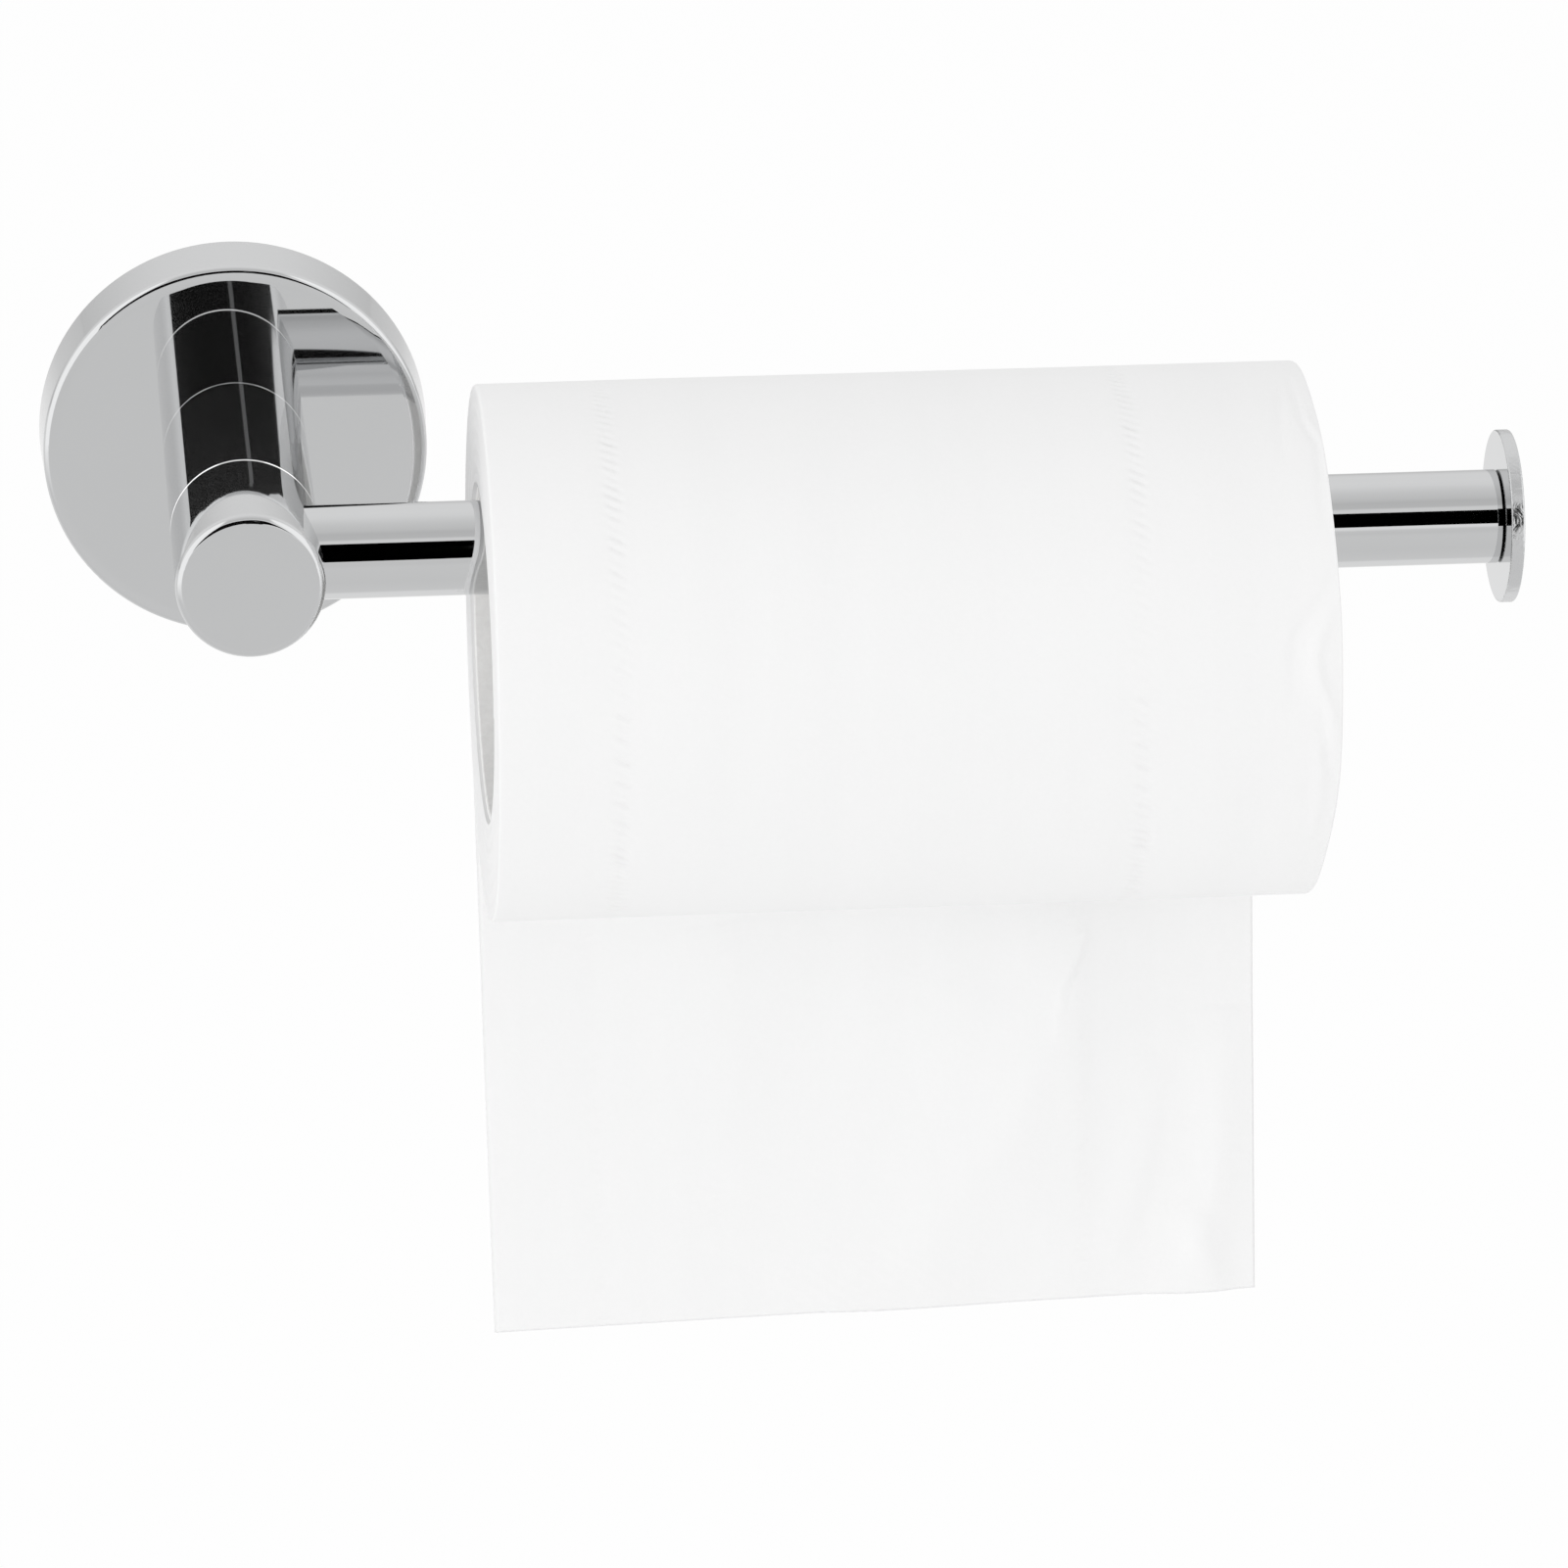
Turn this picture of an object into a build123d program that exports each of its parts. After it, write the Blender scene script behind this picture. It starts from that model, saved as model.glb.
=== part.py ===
from build123d import *

import os
from math import asin, cos, degrees, radians, sin

os.makedirs("parts", exist_ok=True)

# Wall-mounted toilet paper holder with one arm, a paper roll and its loose sheet.
# Millimetres. The origin is the centre of the flange in the wall's plane.
# +X runs along the arm, +Y runs into the wall, +Z is up.

# ---- Driving dimensions ----------------------------------------------------

# Wall flange: a turned cup, open towards the wall, slightly narrower in front
flange_radius = 25.5
flange_taper = 0.4
flange_depth = 10.5
flange_face_thickness = 2.5
flange_skirt_thickness = 1.8
flange_crown_width = 1.2
flange_crown_radius = 13.0
flange_edge_radius = 0.8

# Wall bracket and its screws
bracket_bore_radius = 8.0
screw_spacing = 30.0
screw_head_radius = 4.0
screw_neck_radius = 1.7
screw_thread_radius = 2.1
screw_thread_start = 0.3
screw_reach = 28.0
screw_point_length = 5.0
screw_slot_width = 0.9
screw_slot_depth = 1.4

# Grub screw under the flange
grub_radius = 2.0
grub_socket_radius = 1.1
grub_socket_depth = 1.6
grub_tip_radius = 0.4
grub_inset = 0.3
groove_depth = 1.5

# Post: a neck on the flange, a head in front of it
post_radius = 9.42
post_length = 65.5
head_length = 22.6
post_front_edge = 1.0
joint_edge = 0.25
seat_edge = 0.15

# Neck bolt with a split washer
bolt_radius = 3.0
bolt_length = 14.0
bolt_head_radius = 5.0
bolt_head_height = 3.4
bolt_socket_radius = 2.3
bolt_socket_depth = 2.0
washer_radius = 5.2
washer_thickness = 1.2
washer_split = 1.0

# Locating pins
pin_radius = 1.0
pin_length = 6.0

# Threaded studs
post_stud_radius = 4.0
post_stud_in_neck = 10.5
arm_stud_radius = 2.5
arm_stud_in_head = 9.0
arm_stud_in_arm = 10.5
disc_stud_radius = 2.0
disc_stud_length = 14.0
stud_end_room = 0.5
stud_wall = 0.55

# Arm and end disc
arm_radius = 6.0
arm_wall = 1.2
arm_from_front = 13.0
arm_seat_wall = 1.15
arm_end = 159.7
arm_edge = 0.25
insert_length = 12.0
disc_radius = 11.05
disc_thickness = 1.75
disc_edge = 0.25
spigot_length = 6.0
disc_hole_depth = 5.0

# Paper roll on its cardboard core
core_bore_radius = 20.5
core_wall = 0.8
core_inset = 0.4
roll_radius = 34.2
roll_start = 29.5
roll_width = 105.3
roll_edge = 1.2

# Loose sheet hanging behind the roll
sheet_trim = 1.4
sheet_drop = 109.3
sheet_thickness = 0.3
sheet_lean = 1.26

# Clearances
close_fit = 0.03
thread_fit = 0.05
screw_hole_fit = 0.2
skirt_fit = 0.3
bracket_front_gap = 1.5
hang_gap = 0.3
sheet_gap = 0.3

# ---- Values worked out from them -------------------------------------------

flange_front_radius = flange_radius - flange_taper
flange_inner_radius = flange_radius - flange_skirt_thickness
flange_inner_face = flange_depth - flange_face_thickness
bracket_radius = flange_inner_radius - skirt_fit
bracket_thickness = flange_inner_face - bracket_front_gap
grub_height = bracket_thickness / 2
joint_distance = post_length - head_length
neck_length = joint_distance - flange_depth
pin_offset = (post_radius + washer_radius) / 2
arm_from_wall = post_length - arm_from_front
arm_seat = post_stud_radius + thread_fit + arm_seat_wall
arm_bore_radius = arm_radius - arm_wall
insert_radius = arm_bore_radius - close_fit
tip_insert_end = arm_end - spigot_length - stud_end_room
disc_stud_end = arm_end - spigot_length + disc_hole_depth - stud_end_room
core_radius = core_bore_radius + core_wall
roll_drop = core_bore_radius - arm_radius - hang_gap
sheet_from_wall = arm_from_wall - roll_radius - sheet_gap
sheet_width = roll_width - sheet_trim

# The post stud stops short of the arm stud, which crosses the head in front of it.
arm_stud_hole_back = arm_from_wall - arm_stud_radius - thread_fit
post_stud_in_head = arm_stud_hole_back - joint_distance - stud_wall - stud_end_room


def from_wall(distance, x=0, z=0):
    """Plane parallel to the wall, facing outwards, at this distance from it and this place on it."""
    return Plane(origin=(x, -distance, z), x_dir=(1, 0, 0), z_dir=(0, -1, 0))


def across_arm(x):
    """Plane across the arm's axis, facing its free end, at this place along it."""
    return Plane(origin=(x, -arm_from_wall, 0), x_dir=(0, 1, 0), z_dir=(1, 0, 0))


def across_roll(x):
    """Plane across the roll's axis, which lies below the arm's."""
    return Plane(origin=(x, -arm_from_wall, -roll_drop), x_dir=(0, 1, 0), z_dir=(1, 0, 0))


def below_flange(distance):
    """Plane facing down on the grub screw's axis, this far below the flange's centre."""
    return Plane(origin=(0, -grub_height, -distance), x_dir=(1, 0, 0), z_dir=(0, 0, -1))


def save(piece, name):
    """Label a finished piece and write it under its name."""
    piece.part.label = name
    export_step(piece.part, f"parts/{name}.step")


# ---- Wall bracket ----------------------------------------------------------

with BuildPart() as wall_bracket:
    with BuildSketch(from_wall(0)):
        Circle(bracket_radius)
        Circle(bracket_bore_radius, mode=Mode.SUBTRACT)
    extrude(amount=bracket_thickness)
    # V groove round the rim for the grub screw's point
    with BuildSketch(Plane.XY):
        with BuildLine():
            Polyline(
                (bracket_radius - groove_depth, -grub_height),
                (bracket_radius + grub_inset, -grub_height - groove_depth - grub_inset),
                (bracket_radius + grub_inset, -grub_height + groove_depth + grub_inset),
                close=True,
            )
        make_face()
    revolve(axis=Axis.Y, mode=Mode.SUBTRACT)
    # countersunk holes for the wall screws
    for side in (-1, 1):
        with Locations(from_wall(bracket_thickness, x=side * screw_spacing / 2)):
            CounterSinkHole(
                radius=screw_thread_radius + screw_hole_fit,
                counter_sink_radius=screw_head_radius + screw_hole_fit,
                counter_sink_angle=90,
            )
save(wall_bracket, "wall_bracket")

# ---- Wall screws -----------------------------------------------------------

screw_axis_x = screw_spacing / 2
screw_head_top = screw_hole_fit / 2 - bracket_thickness
screw_cone_end = screw_head_top + screw_head_radius - screw_neck_radius

with BuildPart() as wall_screws:
    with BuildSketch(Plane.XY):
        with BuildLine():
            Polyline(
                (screw_axis_x, screw_head_top),
                (screw_axis_x + screw_head_radius, screw_head_top),
                (screw_axis_x + screw_neck_radius, screw_cone_end),
                (screw_axis_x + screw_neck_radius, screw_thread_start),
                (screw_axis_x + screw_thread_radius, screw_thread_start),
                (screw_axis_x + screw_thread_radius, screw_reach - screw_point_length),
                (screw_axis_x, screw_reach),
                close=True,
            )
        make_face()
    revolve(axis=Axis((screw_axis_x, 0, 0), (0, 1, 0)))
    # cross recess in the head
    with BuildSketch(from_wall(-screw_head_top, x=screw_axis_x)):
        Rectangle(screw_head_radius, screw_slot_width)
        Rectangle(screw_slot_width, screw_head_radius)
    extrude(amount=-screw_slot_depth, mode=Mode.SUBTRACT)
    mirror(about=Plane.YZ)
save(wall_screws, "wall_screws")

# ---- Wall flange -----------------------------------------------------------

# the face is flat, then falls away a little towards its rounded edge
crown_angle = degrees(asin(flange_crown_width / flange_crown_radius))
edge_width = flange_edge_radius * (1 - sin(radians(crown_angle)))
flat_radius = flange_front_radius - flange_crown_width - edge_width

with BuildPart() as wall_flange:
    with BuildSketch(Plane.XY):
        with BuildLine():
            face = Line((0, -flange_depth), (flat_radius, -flange_depth))
            crown = JernArc(face @ 1, face % 1, radius=flange_crown_radius, arc_size=crown_angle)
            edge = JernArc(crown @ 1, crown % 1, radius=flange_edge_radius, arc_size=90 - crown_angle)
            Polyline(edge @ 1, (flange_radius, 0), (0, 0), face @ 0)
        make_face()
    revolve(axis=Axis.Y)
    with BuildSketch(from_wall(0)):
        Circle(flange_inner_radius)
    extrude(amount=flange_inner_face, mode=Mode.SUBTRACT)
    # neck bolt's hole and locating pin's hole, through the face
    with BuildSketch(from_wall(0)):
        Circle(bolt_radius + thread_fit)
    extrude(amount=flange_depth, mode=Mode.SUBTRACT)
    with BuildSketch(from_wall(0, z=pin_offset)):
        Circle(pin_radius + close_fit)
    extrude(amount=flange_depth, mode=Mode.SUBTRACT)
    # grub screw's hole, through the skirt underneath
    with BuildSketch(below_flange(0)):
        Circle(grub_radius + thread_fit)
    extrude(amount=flange_radius, mode=Mode.SUBTRACT)
save(wall_flange, "wall_flange")

# ---- Grub screw ------------------------------------------------------------

grub_outer_end = flange_radius - grub_inset
grub_tip_end = bracket_radius - groove_depth + grub_tip_radius + thread_fit * 2

with BuildPart() as flange_grub_screw:
    with BuildSketch(Plane.YZ):
        with BuildLine():
            Polyline(
                (-grub_height, -grub_tip_end),
                (-grub_height + grub_tip_radius, -grub_tip_end),
                (-grub_height + grub_radius, -grub_tip_end - grub_radius + grub_tip_radius),
                (-grub_height + grub_radius, -grub_outer_end),
                (-grub_height, -grub_outer_end),
                close=True,
            )
        make_face()
    revolve(axis=Axis((0, -grub_height, 0), (0, 0, 1)))
    with BuildSketch(below_flange(grub_outer_end)):
        RegularPolygon(grub_socket_radius, 6)
    extrude(amount=-grub_socket_depth, mode=Mode.SUBTRACT)
save(flange_grub_screw, "flange_grub_screw")

# ---- Neck bolt and split washer --------------------------------------------

washer_back = flange_inner_face - washer_thickness

with BuildPart() as lock_washer:
    with BuildSketch(from_wall(washer_back)):
        Circle(washer_radius)
        Circle(bolt_radius + thread_fit, mode=Mode.SUBTRACT)
        with Locations((washer_radius / 2, 0)):
            Rectangle(washer_radius, washer_split, mode=Mode.SUBTRACT)
    extrude(amount=washer_thickness)
save(lock_washer, "lock_washer")

with BuildPart() as neck_bolt:
    with BuildSketch(from_wall(washer_back)):
        Circle(bolt_head_radius)
    extrude(amount=-bolt_head_height)
    chamfer(neck_bolt.faces().sort_by(Axis.Y)[-1].edges(), joint_edge)
    with BuildSketch(from_wall(washer_back)):
        Circle(bolt_radius)
    extrude(amount=bolt_length)
    chamfer(neck_bolt.faces().sort_by(Axis.Y)[0].edges(), joint_edge)
    with BuildSketch(from_wall(washer_back - bolt_head_height)):
        RegularPolygon(bolt_socket_radius, 6)
    extrude(amount=bolt_socket_depth, mode=Mode.SUBTRACT)
save(neck_bolt, "neck_bolt")

# ---- Locating pins ---------------------------------------------------------


def make_pin(first_end):
    """Round pin above the post's axis, from this distance out from the wall."""
    with BuildPart() as pin:
        with BuildSketch(from_wall(first_end, z=pin_offset)):
            Circle(pin_radius)
        extrude(amount=pin_length)
        chamfer(pin.edges(), pin_radius / 4)
    return pin


flange_dowel = make_pin(flange_inner_face)
save(flange_dowel, "flange_dowel")

head_dowel = make_pin(joint_distance - pin_length / 2)
save(head_dowel, "head_dowel")

# ---- Post neck -------------------------------------------------------------

flange_pin_depth = flange_inner_face + pin_length + stud_end_room - flange_depth
head_pin_depth = pin_length / 2 + stud_end_room

with BuildPart() as post_neck:
    with BuildSketch(from_wall(flange_depth)):
        Circle(post_radius)
    extrude(amount=neck_length)
    chamfer(post_neck.faces().sort_by(Axis.Y)[-1].edges(), seat_edge)
    chamfer(post_neck.faces().sort_by(Axis.Y)[0].edges(), joint_edge)
    # tapped hole for the neck bolt, blind from the back
    with BuildSketch(from_wall(flange_depth)):
        Circle(bolt_radius + thread_fit)
    extrude(amount=washer_back + bolt_length + stud_end_room - flange_depth, mode=Mode.SUBTRACT)
    with BuildSketch(from_wall(flange_depth, z=pin_offset)):
        Circle(pin_radius + close_fit)
    extrude(amount=flange_pin_depth, mode=Mode.SUBTRACT)
    # tapped hole for the post stud and the head's pin hole, blind from the front
    with BuildSketch(from_wall(joint_distance)):
        Circle(post_stud_radius + thread_fit)
    extrude(amount=-post_stud_in_neck - stud_end_room, mode=Mode.SUBTRACT)
    with BuildSketch(from_wall(joint_distance, z=pin_offset)):
        Circle(pin_radius + close_fit)
    extrude(amount=-head_pin_depth, mode=Mode.SUBTRACT)
save(post_neck, "post_neck")

# ---- Post stud -------------------------------------------------------------

with BuildPart() as post_stud:
    with BuildSketch(from_wall(joint_distance - post_stud_in_neck)):
        Circle(post_stud_radius)
    extrude(amount=post_stud_in_neck + post_stud_in_head)
    chamfer(post_stud.edges(), joint_edge)
save(post_stud, "post_stud")

# ---- Post head -------------------------------------------------------------

with BuildPart() as post_head:
    with BuildSketch(from_wall(joint_distance)):
        Circle(post_radius)
    extrude(amount=head_length)
    chamfer(post_head.faces().sort_by(Axis.Y)[-1].edges(), joint_edge)
    fillet(post_head.faces().sort_by(Axis.Y)[0].edges(), post_front_edge)
    # tapped hole for the post stud and the pin hole, blind from the back
    with BuildSketch(from_wall(joint_distance)):
        Circle(post_stud_radius + thread_fit)
    extrude(amount=post_stud_in_head + stud_end_room, mode=Mode.SUBTRACT)
    with BuildSketch(from_wall(joint_distance, z=pin_offset)):
        Circle(pin_radius + close_fit)
    extrude(amount=head_pin_depth, mode=Mode.SUBTRACT)
    # socket for the arm, and the arm stud's tapped hole in its floor
    with BuildSketch(across_arm(arm_seat)):
        Circle(arm_radius + close_fit)
    extrude(amount=post_radius, mode=Mode.SUBTRACT)
    with BuildSketch(across_arm(arm_seat)):
        Circle(arm_stud_radius + thread_fit)
    extrude(amount=-arm_stud_in_head - stud_end_room, mode=Mode.SUBTRACT)
save(post_head, "post_head")

# ---- Arm: tube, inserts and stud -------------------------------------------

with BuildPart() as arm_tube:
    with BuildSketch(across_arm(arm_seat)):
        Circle(arm_radius)
        Circle(arm_bore_radius, mode=Mode.SUBTRACT)
    extrude(amount=arm_end - arm_seat)
    chamfer(arm_tube.faces().sort_by(Axis.X)[-1].edges().sort_by(SortBy.LENGTH)[-1], arm_edge)
save(arm_tube, "arm_tube")


def make_insert(start, hole_radius):
    """Threaded plug fixed in the arm's bore, from this place along the arm."""
    with BuildPart() as insert:
        with BuildSketch(across_arm(start)):
            Circle(insert_radius)
            Circle(hole_radius, mode=Mode.SUBTRACT)
        extrude(amount=insert_length)
    return insert


def make_stud(start, end, radius):
    """Threaded stud on the arm's axis, between these two places along it."""
    with BuildPart() as stud:
        with BuildSketch(across_arm(start)):
            Circle(radius)
        extrude(amount=end - start)
        chamfer(stud.edges(), joint_edge)
    return stud


arm_root_insert = make_insert(arm_seat, arm_stud_radius + thread_fit)
save(arm_root_insert, "arm_root_insert")

arm_stud = make_stud(arm_seat - arm_stud_in_head, arm_seat + arm_stud_in_arm, arm_stud_radius)
save(arm_stud, "arm_stud")

arm_tip_insert = make_insert(tip_insert_end - insert_length, disc_stud_radius + thread_fit)
save(arm_tip_insert, "arm_tip_insert")

disc_stud = make_stud(disc_stud_end - disc_stud_length, disc_stud_end, disc_stud_radius)
save(disc_stud, "disc_stud")

# ---- End disc --------------------------------------------------------------

with BuildPart() as end_disc:
    with BuildSketch(across_arm(arm_end)):
        Circle(disc_radius)
    extrude(amount=disc_thickness)
    fillet(end_disc.edges(), disc_edge)
    # spigot that fits the tube, tapped for the disc stud
    with BuildSketch(across_arm(arm_end)):
        Circle(arm_bore_radius - thread_fit)
    extrude(amount=-spigot_length)
    with BuildSketch(across_arm(arm_end - spigot_length)):
        Circle(disc_stud_radius + thread_fit)
    extrude(amount=disc_hole_depth, mode=Mode.SUBTRACT)
save(end_disc, "end_disc")

# ---- Paper roll and cardboard core -----------------------------------------

with BuildPart() as cardboard_core:
    with BuildSketch(across_roll(roll_start + core_inset)):
        Circle(core_radius)
        Circle(core_bore_radius, mode=Mode.SUBTRACT)
    extrude(amount=roll_width - 2 * core_inset)
save(cardboard_core, "cardboard_core")

with BuildPart() as paper_roll:
    with BuildSketch(across_roll(roll_start)):
        Circle(roll_radius)
    extrude(amount=roll_width)
    fillet(paper_roll.edges().filter_by(GeomType.CIRCLE), roll_edge)
    with BuildSketch(across_roll(roll_start)):
        Circle(core_radius + close_fit)
    extrude(amount=roll_width, mode=Mode.SUBTRACT)
save(paper_roll, "paper_roll")

# ---- Loose sheet -----------------------------------------------------------

# The sheet hangs from the back of the roll and leans a little in its own plane.
lean_across = (sheet_width * cos(radians(sheet_lean)), sheet_width * sin(radians(sheet_lean)))
lean_down = (sheet_drop * sin(radians(sheet_lean)), -sheet_drop * cos(radians(sheet_lean)))

with BuildPart() as paper_tail:
    with BuildSketch(from_wall(sheet_from_wall, x=roll_start, z=-roll_drop)):
        with BuildLine():
            Polyline(
                (0, 0),
                lean_across,
                (lean_across[0] + lean_down[0], lean_across[1] + lean_down[1]),
                lean_down,
                close=True,
            )
        make_face()
    extrude(amount=-sheet_thickness)
save(paper_tail, "paper_tail")
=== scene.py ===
"""Toilet paper holder: finishes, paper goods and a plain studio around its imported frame."""

import math

import bmesh
import bpy
import numpy as np
from bpy.props import FloatProperty, FloatVectorProperty, IntProperty, PointerProperty
from mathutils import Euler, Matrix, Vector


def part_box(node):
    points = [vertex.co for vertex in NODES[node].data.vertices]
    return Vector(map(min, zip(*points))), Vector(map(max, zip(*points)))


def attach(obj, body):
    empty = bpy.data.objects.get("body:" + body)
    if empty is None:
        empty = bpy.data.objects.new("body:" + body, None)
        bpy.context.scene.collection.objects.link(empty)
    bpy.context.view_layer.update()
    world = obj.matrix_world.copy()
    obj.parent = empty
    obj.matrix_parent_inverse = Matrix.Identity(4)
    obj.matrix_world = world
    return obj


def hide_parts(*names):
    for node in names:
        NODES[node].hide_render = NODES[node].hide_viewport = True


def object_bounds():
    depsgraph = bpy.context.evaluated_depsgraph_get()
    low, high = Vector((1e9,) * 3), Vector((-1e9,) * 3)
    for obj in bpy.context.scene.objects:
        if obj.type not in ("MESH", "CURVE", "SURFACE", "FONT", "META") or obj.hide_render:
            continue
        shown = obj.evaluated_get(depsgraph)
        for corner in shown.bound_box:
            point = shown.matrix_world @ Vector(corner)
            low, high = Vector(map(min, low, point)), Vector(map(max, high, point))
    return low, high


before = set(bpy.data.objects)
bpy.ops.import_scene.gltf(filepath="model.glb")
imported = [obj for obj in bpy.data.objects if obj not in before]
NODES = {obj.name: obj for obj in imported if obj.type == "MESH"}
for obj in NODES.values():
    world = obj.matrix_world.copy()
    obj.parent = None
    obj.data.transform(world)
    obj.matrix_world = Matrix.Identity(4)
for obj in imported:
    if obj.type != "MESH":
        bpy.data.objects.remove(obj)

bl_info = {
    "name": "Toilet Paper Holder",
    "version": (1, 0, 0),
    "blender": (4, 5, 0),
    "location": "3D View > Sidebar > Paper Holder",
    "description": "Finishes the holder's metal and makes its paper roll, core, loose sheet and studio",
    "category": "Object",
}

MM = 0.001
CAD_LOW, CAD_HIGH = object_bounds()
ROLL_LOW, ROLL_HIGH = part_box("paper_roll")
CORE_LOW, CORE_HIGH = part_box("cardboard_core")
SHEET_LOW, SHEET_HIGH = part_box("paper_tail")
SCREWS_LOW, SCREWS_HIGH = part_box("wall_screws")

# The roll turns about this line, parallel to X
AXIS_Y = (ROLL_LOW.y + ROLL_HIGH.y) / 2
AXIS_Z = (ROLL_LOW.z + ROLL_HIGH.z) / 2
ROLL_RADIUS = (ROLL_HIGH.z - ROLL_LOW.z) / 2
CORE_RADIUS = (CORE_HIGH.z - CORE_LOW.z) / 2

# Which fixings get which unpolished metal
FIXING_FINISHES = {
    "Die Cast Zinc": ("wall_bracket",),
    "Zinc Plated Steel": ("lock_washer", "neck_bolt", "post_stud", "arm_stud", "disc_stud"),
    "Stainless Steel": ("flange_grub_screw", "flange_dowel", "head_dowel"),
    "Turned Brass": ("arm_root_insert", "arm_tip_insert"),
}


# ---- Sizes and colours that a user would change ------------------------------


class HolderMetalSettings(bpy.types.PropertyGroup):
    """Colours and gloss of the metal finishes"""

    chrome_colour: FloatVectorProperty(
        name="Chrome Colour", description="Reflected colour of the polished chrome",
        subtype="COLOR", size=3, min=0, max=1, default=(0.655, 0.66, 0.665),
    )
    chrome_roughness: FloatProperty(
        name="Chrome Roughness", description="Roughness of clean chrome",
        subtype="FACTOR", min=0, max=1, default=0.02,
    )
    film: FloatProperty(
        name="Film", description="Thin film left on the flange and post by handling",
        subtype="FACTOR", min=0, max=1, default=0.2,
    )
    thread_pitch: FloatProperty(
        name="Thread Pitch", description="Rise of the wall screws' thread in one turn",
        unit="LENGTH", min=0.0005, max=0.005, default=1.8 * MM,
    )
    thread_depth: FloatProperty(
        name="Thread Depth", description="Depth of the wall screws' thread",
        unit="LENGTH", min=0, max=0.001, default=0.55 * MM,
    )


class HolderPaperSettings(bpy.types.PropertyGroup):
    """Sizes and colours of the paper roll, its core and the loose sheet"""

    paper_colour: FloatVectorProperty(
        name="Paper Colour", description="Colour of the soft white paper",
        subtype="COLOR", size=3, min=0, max=1, default=(0.93, 0.93, 0.93),
    )
    # painted light: the loose sheet is the roll's paper made lighter, standing in for light that passes
    # through it; its shader lets no light through
    sheet_colour_painted_lighter: FloatVectorProperty(
        name="Sheet Colour", description="Colour of the single loose sheet, which lets some light through",
        subtype="COLOR", size=3, min=0, max=1, default=(0.95, 0.95, 0.95),
    )
    core_colour: FloatVectorProperty(
        name="Core Colour", description="Colour of the core's grey board",
        subtype="COLOR", size=3, min=0, max=1, default=(0.95, 0.945, 0.935),
    )
    # painted light: the core's board glows by this much, standing in for light that seeps through the paper
    # into it
    core_painted_glow: FloatProperty(
        name="Core Glow", description="Light that seeps through the paper into the core",
        min=0, max=1, default=0.05,
    )
    crimp_inset_left: FloatProperty(
        name="Left Crimp Inset", description="From the roll's post end to its first crimped line",
        unit="LENGTH", min=0, max=0.05, default=15.4 * MM,
    )
    crimp_inset_right: FloatProperty(
        name="Right Crimp Inset", description="From the roll's free end to its second crimped line",
        unit="LENGTH", min=0, max=0.05, default=24.4 * MM,
    )
    crimp_pitch: FloatProperty(
        name="Crimp Pitch", description="Distance between the crimped line's slanted strokes",
        unit="LENGTH", min=0.0005, max=0.01, default=1.5 * MM,
    )
    crimp_depth: FloatProperty(
        name="Crimp Depth", description="How deep the crimping wheel pressed into the paper",
        unit="LENGTH", min=0, max=0.001, default=0.55 * MM,
    )
    sheet_thickness: FloatProperty(
        name="Sheet Thickness", description="Thickness of the loose sheet",
        unit="LENGTH", min=0.00005, max=0.0005, default=0.14 * MM,
    )
    steps_round: IntProperty(
        name="Steps Round", description="Mesh steps round the roll", min=64, max=2048, default=720,
    )


class HolderStageSettings(bpy.types.PropertyGroup):
    """Studio light and floor"""

    floor_drop: FloatProperty(
        name="Floor Drop", description="Floor's distance below the holder",
        unit="LENGTH", min=0.1, max=3, default=0.6,
    )
    fill_strength: FloatProperty(
        name="Fill Light", description="Strength of the even light from all round",
        min=0, max=3, default=0.8,
    )
    key_power: FloatProperty(
        name="Key Light", description="Power of the soft lamp on the left; the others follow it",
        unit="POWER", min=0, max=200, default=4.3,
    )
    side_light: FloatProperty(
        name="Side Light", description="Brightness of the tall white panels that the chrome's edges mirror",
        min=0, max=5, default=1.25,
    )
    card_distance: FloatProperty(
        name="Card Distance", description="Distance of the dark cards that the chrome mirrors",
        unit="LENGTH", min=1, max=10, default=3.0,
    )


# ---- Shader helpers ------------------------------------------------------------

WHITE = (1, 1, 1, 1)


def feed(tree, node, inputs):
    """Set a node's inputs; each value is a constant or another node's output."""
    for key, value in inputs.items():
        if isinstance(value, bpy.types.NodeSocket):
            tree.links.new(value, node.inputs[key])
        else:
            node.inputs[key].default_value = value


def put(tree, kind, inputs=None, **settings):
    """Add a shader node with its settings and inputs."""
    node = tree.nodes.new("ShaderNode" + kind)
    for key, value in settings.items():
        setattr(node, key, value)
    feed(tree, node, inputs or {})
    return node


def mix_colour(tree, factor, first, second):
    """Blend two colours, each a socket or three numbers, and return the result's socket."""
    first, second = (
        colour if isinstance(colour, bpy.types.NodeSocket) else (*colour, 1) for colour in (first, second)
    )
    return put(tree, "Mix", {"Factor": factor, 6: first, 7: second}, data_type="RGBA").outputs[2]


def spread(tree, value, low, high, from_low=0.0, from_high=1.0):
    """Map a value's range onto another and return the result's socket."""
    return put(
        tree, "MapRange",
        {"Value": value, "From Min": from_low, "From Max": from_high, "To Min": low, "To Max": high},
    ).outputs[0]


def calculate(tree, operation, *values, **settings):
    """Result of a Math node for one, two or three values."""
    return put(tree, "Math", dict(enumerate(values)), operation=operation, **settings).outputs[0]


def noise(tree, place, scale, detail, **more):
    """Grey value of a noise texture; its other inputs are given by name."""
    return put(tree, "TexNoise", {"Vector": place, "Scale": scale, "Detail": detail, **more}).outputs[0]


def own_place(tree):
    """Coordinates that are fixed to the object, so its marks move with it."""
    return put(tree, "TexCoord").outputs["Object"]


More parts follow.
